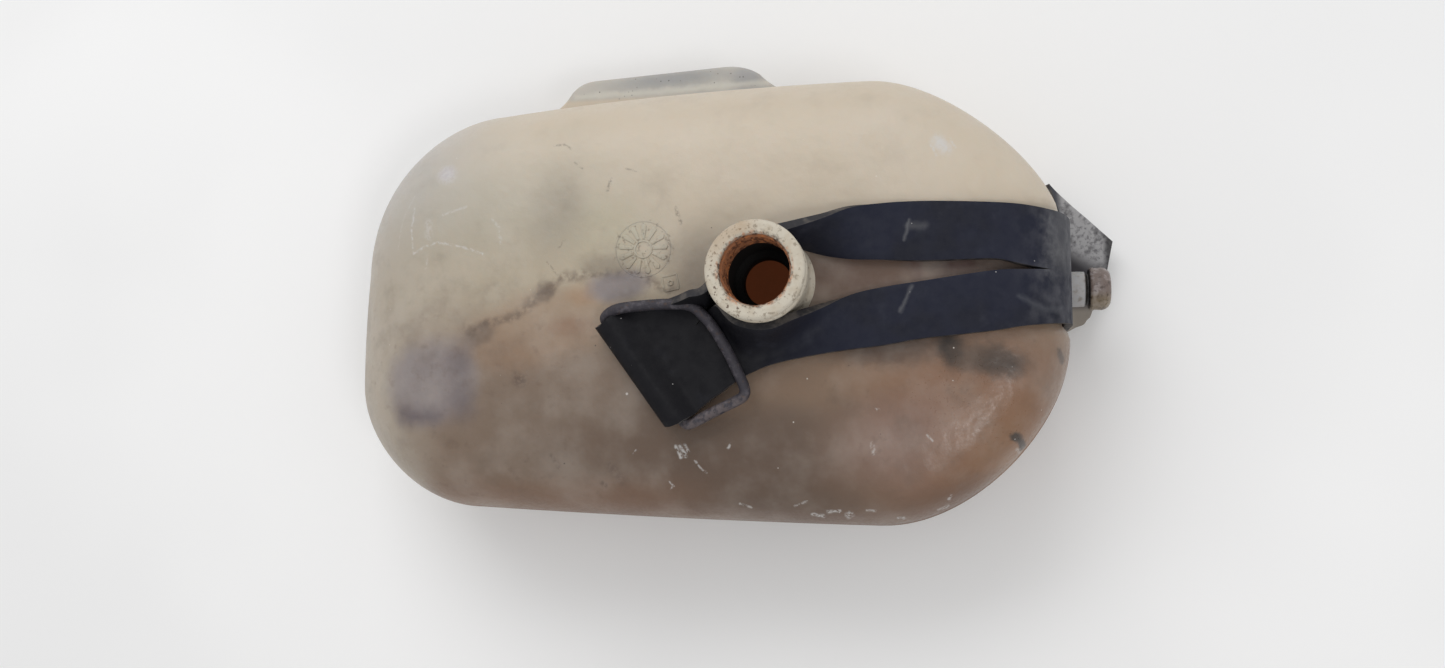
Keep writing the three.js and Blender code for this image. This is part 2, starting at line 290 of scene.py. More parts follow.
class Paint:
    """One procedural material. Masks are sockets from 0 to 1, and places are millimetres."""

    def __init__(self, name, attribute=None):
        self.material = bpy.data.materials.new(name)
        self.material.use_nodes = True
        self.tree = self.material.node_tree
        self.shader = self.tree.nodes["Principled BSDF"]
        if attribute:
            source = self.new("ShaderNodeAttribute")
            source.attribute_name = attribute
            self.source = source.outputs["Vector"]
        else:
            self.source = self.new("ShaderNodeTexCoord").outputs["Object"]
        apart = self.new("ShaderNodeSeparateXYZ")
        self.wire(self.source, apart.inputs[0])
        self.place = tuple(self.math("MULTIPLY", part, 1 / MM) for part in apart.outputs)
        # always 1, but only known after the place, so that the textures scaled by it are worked
        # out one by one as they're needed, and don't fill the shader's memory
        self.one = self.span(self.place[2], -9e5, -8e5)
        self.base = None

    def new(self, kind):
        return self.tree.nodes.new(kind)

    def wire(self, value, socket):
        if isinstance(value, bpy.types.NodeSocket):
            self.tree.links.new(value, socket)
        else:
            socket.default_value = value

    def math(self, operation, a, b=0.0, c=0.0):
        node = self.new("ShaderNodeMath")
        node.operation = operation
        for value, socket in zip((a, b, c), node.inputs):
            self.wire(value, socket)
        return node.outputs[0]

    def linear(self, place, a, b, c):
        """a x + b y + c"""
        result = self.math("MULTIPLY_ADD", place[0], a, c)
        return self.math("MULTIPLY_ADD", place[1], b, result)

    def hypotenuse(self, u, v):
        return self.math("SQRT", self.math("MULTIPLY_ADD", u, u, self.math("MULTIPLY", v, v)))

    def span(self, value, low, high, out_low=0.0, out_high=1.0, smooth=True):
        """value taken from low..high to out_low..out_high, and held beyond the ends if smooth."""
        node = self.new("ShaderNodeMapRange")
        node.interpolation_type = "SMOOTHSTEP" if smooth else "LINEAR"
        node.clamp = False         # a smooth step holds its ends anyway
        for source, socket in zip((value, low, high, out_low, out_high), node.inputs):
            self.wire(source, socket)
        return node.outputs["Result"]

    def noise(self, size, detail=3.0, seed=0.0):
        """Noise from 0 to 1 with features of the given size."""
        node = self.new("ShaderNodeTexNoise")
        node.noise_dimensions = "4D"
        self.wire(self.source, node.inputs["Vector"])
        node.inputs["W"].default_value = seed * 1.7
        self.wire(self.math("MULTIPLY", self.one, 1 / (size * MM)), node.inputs["Scale"])
        node.inputs["Detail"].default_value = detail
        node.inputs["Roughness"].default_value = 0.55
        return node.outputs["Fac"]

    def cloud(self, size, low=0.4, high=0.6, **more):
        return self.span(self.noise(size, **more), low, high)

    def warped(self, size, reach, seed=0.0, detail=3.0):
        """The place pushed about by noise, which makes drawn shapes ragged."""
        push = [self.span(self.noise(size, detail, seed + more), 0, 1, -reach / 2, reach / 2,
                          smooth=False) for more in (0, 40)]
        return tuple(self.math("ADD", self.place[k], push[k % 2]) for k in range(3))

    def blob(self, place, centre, size, angle=0.0, soft=0.4):
        """Mask of an ellipse in plan, with a soft edge. Its angle is in degrees."""
        c, d = cos(radians(angle)), sin(radians(angle))
        u = self.linear(place, c / size[0], d / size[0], -(centre[0] * c + centre[1] * d) / size[0])
        v = self.linear(place, -d / size[1], c / size[1], (centre[0] * d - centre[1] * c) / size[1])
        return self.span(self.hypotenuse(u, v), 1 + soft, 1 - soft)

    def stroke(self, place, start, end, width, soft=0.5):
        """Mask of a straight stroke in plan, with round ends."""
        run = np.array(end, float) - np.array(start, float)
        length = float(np.hypot(*run))
        c, d = (float(k) for k in run / length)
        x = self.linear(place, c, d, -(start[0] * c + start[1] * d))
        y = self.linear(place, -d, c, start[0] * d - start[1] * c)
        along = self.math("MINIMUM", self.math("MAXIMUM", x, 0.0), length)
        past = self.math("SUBTRACT", x, along)
        return self.span(self.hypotenuse(past, y), width * (0.5 + soft), width * (0.5 - soft))

    def chain(self, place, points, width, soft=0.5):
        """Mask of a bent stroke."""
        return reduce(lambda a, b: self.math("MAXIMUM", a, b),
                      [self.stroke(place, *ends, width, soft) for ends in zip(points, points[1:])])

    def specks(self, size, spacing, share):
        """Mask of scattered dots: size is their radius, and share of the cells have one."""
        node = self.new("ShaderNodeTexVoronoi")
        self.wire(self.source, node.inputs["Vector"])
        self.wire(self.math("MULTIPLY", self.one, 1 / (spacing * MM)), node.inputs["Scale"])
        pick = self.new("ShaderNodeSeparateColor")
        self.wire(node.outputs["Color"], pick.inputs[0])
        limit = self.math("MULTIPLY", pick.outputs["Green"], size / spacing)
        near = self.math("SUBTRACT", limit, node.outputs["Distance"])
        dot = self.span(near, 0, size / spacing * 0.3)
        return self.math("MULTIPLY", dot, self.math("GREATER_THAN", pick.outputs["Red"], 1 - share))

    def times(self, *masks):
        """The product of masks and plain numbers."""
        return reduce(lambda a, b: self.math("MULTIPLY", a, b), masks)

    def less(self, mask):
        return self.math("SUBTRACT", 1.0, mask)

    def coat(self, tint, *masks):
        """Lays an sRGB colour over what is painted so far, where the masks' product is 1."""
        tint = colour(*tint)
        if self.base is None:
            self.base = tint
            return
        node = self.new("ShaderNodeMix")
        node.data_type = "RGBA"
        self.wire(self.times(*masks), node.inputs["Factor"])
        for name, value in (("A", self.base), ("B", tint)):
            self.wire(value, next(s for s in node.inputs if s.name == name and s.type == "RGBA"))
        self.base = next(s for s in node.outputs if s.type == "RGBA")

    def spots(self, place, *rows):
        """Lays blobs of (colour, strength, x, y, half length, half width, softness, angle)."""
        for tint, strength, x, y, length, width, soft, angle in rows:
            self.coat(tint, self.blob(place, (x, y), (length, width), angle, soft), strength)

    def finish(self, roughness, bumps=(), **uniform):
        """Links colour, roughness and bumps of (height, distance in mm), and sets plain values."""
        self.wire(self.base, self.shader.inputs["Base Color"])
        self.wire(roughness, self.shader.inputs["Roughness"])
        socket = self.shader.inputs["Normal"]
        for height, distance in reversed(bumps):
            node = self.new("ShaderNodeBump")
            node.inputs["Distance"].default_value = distance * MM
            self.wire(height, node.inputs["Height"])
            self.wire(node.outputs[0], socket)
            socket = node.inputs["Normal"]
        for name, value in uniform.items():
            self.shader.inputs[name.replace("_", " ")].default_value = value
        return self.material


# ---- materials, in sRGB colours ----

CREAM = (203, 190, 171)
PALE_GREY = (188, 184, 180)
GREEN_GREY = (176, 170, 154)
TAN = (172, 156, 132)
LILAC = (136, 128, 129)
BROWN = (122, 102, 86)
DARK_BROWN = (88, 70, 58)
RUST = (132, 98, 76)
SOOT = (66, 54, 52)
CHALK = (222, 218, 212)
WARM = (150, 122, 98)
ORANGE = (168, 118, 70)
MAUVE = (138, 116, 108)
SCRATCH = (206, 204, 202)


def old_level_line(p, ragged):
    """The edge where coolant stood for years, with dirt along it and colour below it."""
    edge = [(-87, -15), (-80, -11), (-70, -8), (-64, -5), (-59, -1), (-53, 4), (-48, 7.5),
            (-35, 8.5), (-26, 9.5), (-15, 7), (-4, 2)]
    p.spots(ragged, (WARM, 0.55, -56, -12, 34, 14, 0.35, 14), (ORANGE, 0.3, -38, 1, 6, 3.5, 0.9, 0),
            (RUST, 0.5, -44, -12, 8, 3.5, 0.8, 0))
    p.coat(DARK_BROWN, p.chain(ragged, edge, 3.4), p.cloud(4, 0.35, 0.6, seed=6), 0.6)
    p.spots(ragged, (DARK_BROWN, 0.6, -82, -14.5, 7, 4.5, 0.5, 20),
            (DARK_BROWN, 0.55, -55, 2, 5, 3, 0.5, 40), (LILAC, 0.9, -25, 4, 12, 6, 0.4, 8))


def lilac_patch(p, ragged):
    """A purple-grey film at the left end, darker along its right and lower sides."""
    p.spots(ragged, (LILAC, 0.8, -103, -33, 19, 17, 0.3, 10))
    p.coat((104, 94, 95), p.stroke(ragged, (-90, -22), (-88, -43), 8, soft=0.8), 0.75)
    p.coat((98, 88, 92), p.stroke(ragged, (-115, -46), (-100, -47), 6, soft=0.7), 0.8)


def smudges_and_shade_by_strap(p, ragged):
    """Soot and grease beside the strap's strands, and painted shade between them and beside the
    neck.
    """
    rough = p.warped(4, 6, seed=27, detail=4)
    # darker between the strands: painted shade between them over a reddish-brown stain
    p.spots(ragged, ((92, 66, 54), 0.88, 92, 6, 56, 9, 0.5, -4),
            ((70, 55, 50), 0.7, 112, 8, 26, 6, 0.5, -6))
    p.coat((74, 40, 32), p.stroke(ragged, (89.5, 10), (90.5, 3), 3, soft=0.8), 0.8)
    p.coat((66, 34, 28), p.stroke(ragged, (104, 9), (111, 9), 3, soft=0.8), 0.75)
    # painted shade between the strands by the neck's right side, over the same stain
    p.spots(ragged, ((94, 72, 60), 0.9, 60, 2, 27, 15, 0.7, 0))
    p.spots(rough, ((84, 64, 52), 0.9, 82, -22.5, 19, 6, 0.6, 4),
            ((42, 34, 30), 0.95, 103, -23, 4.6, 7.5, 0.6, 25),
            ((86, 72, 62), 0.85, 118, -27.5, 13, 6, 0.5, -6),
            ((48, 39, 34), 0.6, 121, -28.5, 8, 4, 0.7, -10))
    p.coat((62, 50, 46), p.stroke(ragged, (143.5, -23), (144, -27), 1.6),
        p.span(p.place[2], 56, 64), 0.8)
    p.spots(ragged, ((84, 72, 66), 0.4, -30, 12, 9, 4, 0.7, 0))
    # painted shade in the gap between the strap and the left of the neck
    p.spots(p.place, ((96, 82, 74), 0.5, 12, 8, 16, 14, 0.6, 0))
    upper_edge = p.span(p.place[2], 58, 66)
    p.coat((40, 32, 26), upper_edge, p.blob(ragged, (126.5, -55.5), (2.6, 2.0), -20), 0.9)
    p.coat((46, 36, 28), upper_edge, p.blob(ragged, (128.6, -58.3), (2.2, 1.7), -30), 0.9)


def scratches(p, fine):
    """Pale scratches and chips, and a few dark ones."""
    pale = [
        (0.8, 0.75, (-112.3, 38.5), (-113, 29.4), (-111.4, 19.4), (-106.7, 21.8), (-100.8, 23.6),
         (-88.3, 20.8), (-81.1, 18.1)),
        (0.7, 0.4, (-105, 17), (-105.6, 11.5)), (0.8, 0.5, (-98.5, 34.7), (-88.3, 37.6)),
        (1.0, 0.5, (-77, 32), (-74, 28), (-73.5, 22)), (3.0, 0.4, (-104.8, 32), (-104.8, 26)),
        (6.0, 0.55, (-99, 52.4), (-97, 51)), (0.6, 0.3, (-113, 44), (-118, 34), (-119.5, 22)),
        (4.6, 0.6, (99.5, 57), (102, 53.5)), (0.9, 0.7, (97, 55), (99, 51)),
        (0.8, 0.7, (104, 58), (106, 54)), (1.1, 0.9, (-1.8, -59), (0.2, -63)),
        (1.2, 0.9, (0, -58.8), (2, -62.6)), (0.8, 0.8, (1.8, -58.2), (3, -61)),
        (0.7, 0.6, (5.7, -64.5), (7.4, -67), (10.8, -69.8)), (0.8, 0.8, (18.5, -59.6), (19.4, -58)),
        (0.6, 0.7, (-4.9, -72.6), (-3.4, -74.2), (-5, -75.2)), (0.8, 0.7, (22, -81), (26, -82.2)),
        (0.7, 0.6, (43, -81.6), (48, -79.8)), (1.1, 0.9, (49.5, -84.8), (53.5, -85.6)),
        (1.1, 0.9, (55.5, -83.9), (60, -83.4)), (1.9, 0.95, (63.2, -85.3), (64, -84.7)),
        (0.8, 0.7, (70.6, -83.2), (73.6, -83.5)), (1.2, 0.6, (73.3, -58.2), (73.8, -61.6)),
        (0.8, 0.8, (82, -86), (84.4, -86.2)), (0.7, 0.6, (93.6, -55), (95.6, -57)),
        (0.8, 0.6, (97, -83), (101, -81.6)), (0.9, 0.6, (101, -79), (102, -77.6)),
        (1.2, 0.6, (127, -60.2), (128, -61)), (0.5, 0.5, (-18.8, -61.6), (-17.6, -60.2)),
        (0.9, 0.7, (75, -45), (76, -45.6)),
    ]
    dark = [
        (0.9, 0.45, (-52.4, 61.6), (-48, 61.8), (-45, 59.7)), (0.7, 0.4, (-43.5, 54), (-40, 51.4)),
        (0.7, 0.45, (-22, 50.6), (-18, 49.2)), (1.0, 0.5, (-28.2, 46.4), (-29.6, 42)),
        (0.7, 0.4, (-47, 22.8), (-50, 19)), (1.2, 0.55, (-2, 34), (0, 28)),
        (0.9, 0.45, (-6, 22), (-3, 18)), (0.8, 0.4, (-54, 14), (-50, 9)),
        (4.2, 0.45, (-65, -32), (-64, -33)), (1.6, 0.5, (-32, -73), (-31, -74)),
        (1.4, 0.35, (-52, -62), (-49, -67)), (3.2, 0.3, (-28, -66), (-24, -72)),
    ]
    p.spots(fine, ((198, 194, 204), 0.5, -98, 52, 3.6, 3.0, 0.7, 0),
            (SCRATCH, 0.6, 100.5, 55.5, 3.4, 2.2, 0.7, -35))
    for tint, marks in ((SCRATCH, pale), (SOOT, dark)):
        total = 0.0
        for width, strength, *points in marks:
            total = p.math("MAXIMUM", total, p.times(p.chain(fine, points, width), strength))
        p.coat(tint, total, p.cloud(1.3, 0.4, 0.56), 0.85)


def tab_tones(p):
    """Greyer plastic on the tab, with a dark film along it and a bleached band at its foot."""
    raw_x, raw_y, raw_z = p.place
    ragged = p.warped(7, 4, seed=14)
    on_tab = p.times(p.span(raw_y, 90.6, 93), p.span(raw_z, 47, 44.5), p.span(raw_x, 46, 36))
    p.coat((184, 180, 172), on_tab, 0.95)
    p.coat((126, 130, 136), on_tab, p.blob(ragged, (-14, 99.5), (22, 3.4), 3, soft=0.9), 0.6)
    p.coat((134, 136, 142), on_tab, p.blob(ragged, (20, 98), (7, 5), soft=0.8), 0.6)
    p.coat((206, 203, 192), on_tab, p.stroke(ragged, (-56, 93.5), (28, 95.5), 2.4), 0.6)
    p.coat((84, 80, 74), on_tab, p.specks(0.45, 1.8, 0.45), 0.7)


def outlet_tones(p):
    """The outlet stub: grey-white, with a painted shade line in the groove where the barrel starts.
    """
    raw_x, _, raw_z = p.place
    on_stub = p.times(p.span(raw_x, 148.8, 149.6), p.span(raw_z, 47, 46))
    p.coat((176, 175, 176), on_stub, 0.95)
    p.coat((120, 108, 90), on_stub, p.cloud(3, 0.5, 0.7, seed=18), 0.6)
    # painted shade in the groove between the stub and the barrel
    p.coat((34, 28, 24), on_stub, p.span(raw_x, BARREL_START - 1.3, BARREL_START - 0.6))


def tank_plastic():
    """Aged translucent polyethylene, stained by years of coolant up to an old level line; some
    painted shade and sheen.
    """
    p = Paint("tank_plastic")
    wide = p.warped(45, 22, seed=3)
    ragged = p.warped(9, 7, seed=11, detail=4)
    fine = p.warped(2.5, 1.2, seed=21, detail=2)
    x, y, _ = wide
    raw_x, raw_y, _ = p.place

    p.coat(CREAM)
    p.coat(PALE_GREY, p.span(x, -62, -118), 0.85)
    p.spots(wide, (GREEN_GREY, 0.75, -72, 22, 50, 34, 0.8, 0))
    p.spots(ragged, ((188, 182, 158), 0.55, -30, 24, 14, 12, 0.8, 0))
    # tan towards the front: partly stain, partly painted shade falling off across the top from the
    # back
    p.coat(TAN, p.span(y, 48, 0), 0.55)
    p.coat(BROWN, p.span(y, 8, -30), p.span(x, -134, -92), 0.95)
    # the mauve patch at (88, -58) is a painted sheen on the stain; the other spots are stains
    p.spots(wide, ((122, 106, 92), 0.55, -58, -50, 36, 20, 0.9, 0),
            (DARK_BROWN, 0.85, 22, -66, 66, 27, 0.9, -3), (WARM, 0.5, 62, -32, 44, 9, 0.9, 4),
            (RUST, 0.85, 114, -54, 44, 42, 0.6, 0), (MAUVE, 0.6, 88, -58, 22, 13, 0.9, 0),
            ((136, 98, 64), 0.55, 122, -62, 22, 18, 0.8, 30))
    p.spots(ragged, ((84, 58, 42), 0.55, 113, -78, 22, 7, 0.8, 14))
    # painted shadow: a soft darker patch on the top at the back
    p.spots(wide, ((122, 112, 102), 0.32, -50, 33, 10, 14, 0.95, 0))
    p.coat(RUST, p.span(raw_y, -66, -80), p.span(x, 30, -20), p.span(x, -128, -100), 0.45)
    # painted shade along the front edge, where it rounds over
    p.coat((116, 92, 78), p.span(raw_y, -80, -88), 0.5)
    # painted shade along the left edge, where it rounds over, broken into a mottle
    p.coat((112, 90, 80), p.span(raw_x, -134, -147), p.cloud(14, 0.4, 0.6, seed=31), 0.5)
    old_level_line(p, ragged)
    lilac_patch(p, ragged)
    smudges_and_shade_by_strap(p, ragged)

    p.coat((214, 206, 196), p.cloud(26, 0.42, 0.72, seed=5, detail=4), 0.16)
    p.coat((96, 80, 68), p.cloud(13, 0.46, 0.85, seed=15, detail=5), p.span(y, 60, 0, 0.3, 1), 0.42)
    p.coat((96, 76, 64), p.cloud(5, 0.56, 0.76, seed=25, detail=5), p.span(y, 20, -20), 0.3)
    scratches(p, fine)
    p.coat(CHALK, p.specks(0.38, 5.5, 0.3), 0.75)
    p.coat(CHALK, p.specks(0.7, 19, 0.3), 0.7)
    p.coat(SOOT, p.specks(0.42, 6.5, 0.3), 0.7)
    marks = p.blob(p.place, DATE_MARK, (DATE_MARK_RADIUS + 1, DATE_MARK_RADIUS + 1), soft=0.1)
    p.coat(DARK_BROWN, marks, p.cloud(2.0, 0.54, 0.66, seed=33, detail=5), 0.5)
    tab_tones(p)
    outlet_tones(p)
    gloss = p.times(p.blob(wide, (110, -45), (44, 42), soft=0.8), 0.16)
    rough = p.span(p.cloud(1.2, 0.3, 0.8, detail=3), 0, 1, 0.42, 0.6, smooth=False)
    return p.finish(p.math("SUBTRACT", rough, gloss),
                    [(p.noise(14, 2), 0.9), (p.noise(3), 0.12), (p.noise(0.7, 2), 0.03)],
                    Subsurface_Weight=0.2, Subsurface_Scale=0.004,
                    Subsurface_Radius=(1.0, 0.6, 0.4))


def inner_plastic():
    """The inside of the shells, glowing a dull brown: painted light standing in for light through
    the wall.
    """
    p = Paint("tank_inside")
    p.coat((84, 46, 26))
    p.coat((44, 22, 12), p.cloud(12, 0.4, 0.7))
    # painted light: the inside emits a dull brown glow instead of being lit by the lamps
    return p.finish(0.6, Emission_Color=colour(54, 27, 14), Emission_Strength=1.0)


def neck_plastic():
    """Cream filler neck, rusty in its threads, black below them; painted shade on the lip's left
    and back.
    """
    p = Paint("neck_plastic")
    x, y, z = p.place
    p.coat((204, 196, 180))
    p.coat((176, 158, 132), p.cloud(6, 0.45, 0.75, seed=3), 0.6)
    axis = (NECK_CENTRE[0], NECK_CENTRE[1])
    inside = p.blob(p.place, axis, (BORE_RADIUS + 0.9, BORE_RADIUS + 0.9), soft=0.05)
    p.coat((150, 92, 54), inside, p.span(z, NECK_TOP - 1.0, NECK_TOP - 4.0), 0.95)
    p.coat((196, 120, 66), inside, p.cloud(2.2, 0.5, 0.62, seed=5), 0.6)
    p.coat((58, 30, 20), inside, p.cloud(1.8, 0.48, 0.6, seed=8), 0.75)
    p.coat((8, 5, 4), inside, p.span(z, NECK_TOP - 18, NECK_TOP - 22))
    on_lip = p.times(p.span(z, NECK_TOP - 1.5, NECK_TOP - 0.3), p.less(inside))
    # painted shade on the lip's left side: dark flecks that are denser there
    p.coat((84, 58, 40), on_lip, p.cloud(1.3, 0.56, 0.64, seed=12, detail=4),
        p.span(x, NECK_CENTRE[0] + 8, NECK_CENTRE[0] - 8), 0.85)
    # painted shade on the lip's back-left: a tan tone on that side
    p.coat((178, 150, 118), on_lip, p.span(y, NECK_CENTRE[1] - 4, NECK_CENTRE[1] + 14),
        p.span(x, NECK_CENTRE[0] + 6, NECK_CENTRE[0] - 6), 0.5)
    p.coat((120, 104, 84), p.less(inside), p.cloud(1.8, 0.56, 0.66, seed=17, detail=4), 0.6)
    p.coat(SOOT, p.specks(0.35, 2.6, 0.4), 0.65)
    rough = p.span(p.noise(3), 0.3, 0.7, 0.4, 0.65)
    return p.finish(p.math("MAXIMUM", rough, p.times(inside, 0.85)),
                    [(p.noise(1.0), 0.15)])


def nipple_plastic():
    """Amber-brown outlet barrel, scuffed to grey, with painted shade at its start."""
    p = Paint("nipple_plastic")
    x, y, _ = p.place
    p.coat((118, 104, 98))
    p.coat((160, 150, 148), p.cloud(3, 0.45, 0.62), 0.75)
    p.coat((128, 112, 74), p.span(y, NIPPLE_Y - 1, NIPPLE_Y - 6), 0.5)
    p.coat((54, 40, 34), p.cloud(2, 0.52, 0.66, seed=9, detail=4), 0.7)
    # painted shade in the groove at the barrel's start
    p.coat((30, 24, 22), p.span(x, BARREL_START + 1.4, BARREL_START + 0.8))
    return p.finish(p.span(p.noise(1.5), 0.3, 0.7, 0.25, 0.5), [(p.noise(0.8), 0.15)])


def strap_rubber():
    """Black rubber with dusty blue bloom, scuffs and a painted highlight over the shoulder, painted
    shade at the foot.
    """
    p = Paint("strap_rubber", attribute="rest")
    x, y, z = p.place
    p.coat((27, 30, 46))
    p.coat((8, 7, 12), p.span(x, 62, 18), 0.95)
    p.coat((17, 17, 23), p.cloud(22, 0.42, 0.68, seed=1), 0.5)
    p.coat((56, 58, 68), p.cloud(9, 0.54, 0.78, seed=2, detail=5), p.span(x, 8, 48, 0.35, 1), 0.4)
    # scuffs together with a painted sheen where the strap turns over the shoulder
    worn_and_sheen = p.times(p.span(x, 122, 142), p.cloud(7, 0.36, 0.74, seed=6, detail=3))
    p.coat((100, 100, 106), worn_and_sheen, 0.42)
    # painted highlight along the bend over the shoulder, broken up with dust
    dust_and_bend_highlight = p.chain(p.warped(5, 4, seed=29), [(140, 26), (141.5, 14), (139, 6)], 5, soft=0.9)
    p.coat((116, 116, 118), dust_and_bend_highlight, p.cloud(2.5, 0.36, 0.7, seed=36), 0.4)
    streak = p.chain(p.warped(5, 4, seed=24), [(128, -4), (137, -9), (144, -8)], 1.6, soft=0.9)
    p.coat((104, 106, 112), streak, 0.3)
    # painted highlight on the upper strand's bend over the shoulder
    p.coat((112, 112, 114), p.span(x, 136, 143), p.span(y, 2, 12), 0.3)
    for grey, strength, seed, width, *ends in ((128, 0.35, 9, 0.8, (86.5, 18), (88.5, 25.5)),
                                               (120, 0.3, 9, 2, (88.5, 23), (94, 23.4)),
                                               (128, 0.35, 4, 1.0, (89, 0), (84.5, -9))):
        scuff = p.stroke(p.warped(3, 2, seed), *ends, width, soft=0.9)
        p.coat((grey, grey, grey + 2), scuff, strength)
    foot = p.times(p.span(x, 147.5, 151), p.span(z, 34, 24))
    # dark grey over the foot: partly dirt, partly a painted shadow cast by the nipple and the strap
    p.coat((60, 58, 62), foot)
    bloom = p.times(foot, p.span(p.math("ADD", y, p.math("MULTIPLY", x, 0.55)), 103, 113))
    p.coat((166, 165, 166), bloom, 0.9)
    p.coat((88, 86, 90), bloom, p.cloud(1.7, 0.46, 0.66, seed=8, detail=4), 0.7)
    p.coat((52, 50, 54), bloom, p.cloud(5, 0.52, 0.68, seed=18, detail=4), 0.6)
    p.coat((150, 142, 132), foot, p.span(y, 3, -2), 0.85)
    # the foot's curled end: clean black rubber, with painted shade on its underside
    p.coat((34, 32, 34), foot, p.span(x, 166, 169), 0.8)
    p.coat((186, 184, 182), p.specks(0.3, 5, 0.35), 0.7)
    return p.finish(p.span(p.noise(4, 4), 0.3, 0.7, 0.5, 0.72),
                    [(p.noise(0.6), 0.05), (p.noise(6), 0.25)], Specular_IOR_Level=0.25)


def strap_edge():
    """The strap's cut edge, paler where dust has settled."""
    p = Paint("strap_cut_edge", attribute="rest")
    p.coat((78, 73, 70))
    p.coat((36, 35, 40), p.cloud(5, 0.38, 0.6, detail=4))
    x, _, z = p.place
    foot = p.times(p.span(x, 147.5, 151), p.span(z, 34, 24))
    p.coat((120, 118, 118), foot, p.span(x, 164, 158), 0.7)
    p.coat((30, 28, 30), foot, p.span(x, 160, 164), 0.9)
    return p.finish(0.7, [(p.noise(0.8), 0.15)])


def bail_wire():
    """Zinc-plated steel wire gone dull, with a little rust."""
    p = Paint("bail_wire")
    p.coat((58, 55, 62))
    p.coat((92, 88, 94), p.cloud(3, 0.5, 0.7, detail=5))
    p.coat((78, 62, 54), p.cloud(2, 0.56, 0.7, seed=4, detail=5), 0.7)
    at_south_end = p.span(p.place[1], -38, -43)
    p.coat((124, 112, 110), at_south_end, p.cloud(2.5, 0.4, 0.6, seed=7), 0.45)
    p.coat((36, 34, 38), p.specks(0.5, 2.2, 0.4), 0.6)
    return p.finish(p.span(p.noise(1.5), 0.3, 0.7, 0.48, 0.7), [(p.noise(0.7, 4), 0.3)],
                    Metallic=0.3)


def floor_paint():
    p = Paint("studio_floor")
    p.coat((253, 253, 253))
    p.coat((247, 247, 247), p.cloud(400, 0.4, 0.6))
    return p.finish(0.8)


# ---- the tank ----

AROUND = 320               # points round each ring of a shell
RIM_RINGS = 30             # rings over the round edge
LID_RINGS = 18             # rings from there to the middle
RIM_REACH = 32.0           # plan distance covered by the rim rings


def bezier_chain(*curves):
    """Bezier curves one after another, each given by its steps and its controls."""
    return np.concatenate([bezier(*controls, steps=steps) for steps, *controls in curves])


def tank_outline():
    """The tank's outline at the weld, from above, anticlockwise."""
    left, front_left, front_right = (-147.2, 15), (-95, -82.7), (75, -89.6)
    back_right, back_left = (72, 91.6), (-85, 84)
    return resampled(bezier_chain(
        (60, left, (-148.9, -8), (-148.6, -32)),
        (60, (-148.6, -32), (-148.3, -56), (-124, -82.2), front_left),
        (60, front_left, (-1, -88.1), front_right),
        (60, front_right, (111, -89.8), (148.6, -49), (148.6, -18)),
        (60, (148.6, -18), (148.1, 20)),
        (60, (148.1, 20), (147.8, 49), (105, 91.2), back_right),
        (60, back_right, (-10, 91.8), back_left),
        (60, back_left, (-119, 82.4), (-146.9, 53), left)), AROUND, closed=True)


OUTLINE = tank_outline()
INWARD = inward_of(OUTLINE)


def edge_distance(points):
    """Plan distance from each point to the outline."""
    gaps = points[:, None, :] - OUTLINE[None, :, :]
    return np.sqrt((gaps ** 2).sum(2)).min(1)


def crown(distance, height):
    """Height over the weld at a plan distance in from the outline."""
    t = np.clip(1 - distance / ROUND_OVER, 0, 1)
    return height * (1 - t ** ROUND_POWER) ** (1 / ROUND_POWER)


def lean_in(points):
    """Leans the left and back walls inwards with their distance from the weld."""
    for point in points:
        x, y, z = point
        reach = TANK_TOP - PARTING_Z if z > PARTING_Z else PARTING_Z
        rise = (abs(z - PARTING_Z) / reach) ** LEAN_POWER
        point[0] += LEAN_LEFT * rise * smoothstep(-x / HALF_LENGTH)
        point[1] -= LEAN_BACK * rise * smoothstep((y - 30) / 60)


def rim_profile(height):
    """(distance in, height) down the round edge, evenly spaced, and its outward normals."""
    theta = (np.linspace(0, 1, 600) ** 3) * pi / 2
    curve = np.stack([ROUND_OVER * (1 - np.cos(theta) ** (2 / ROUND_POWER)),
                      height * np.sin(theta) ** (2 / ROUND_POWER)], 1)
    curve = resampled(curve[curve[:, 0] <= RIM_REACH], RIM_RINGS)
    slope = unit(np.gradient(curve, axis=0))
    return curve, np.stack([-slope[:, 1], slope[:, 0]], 1)


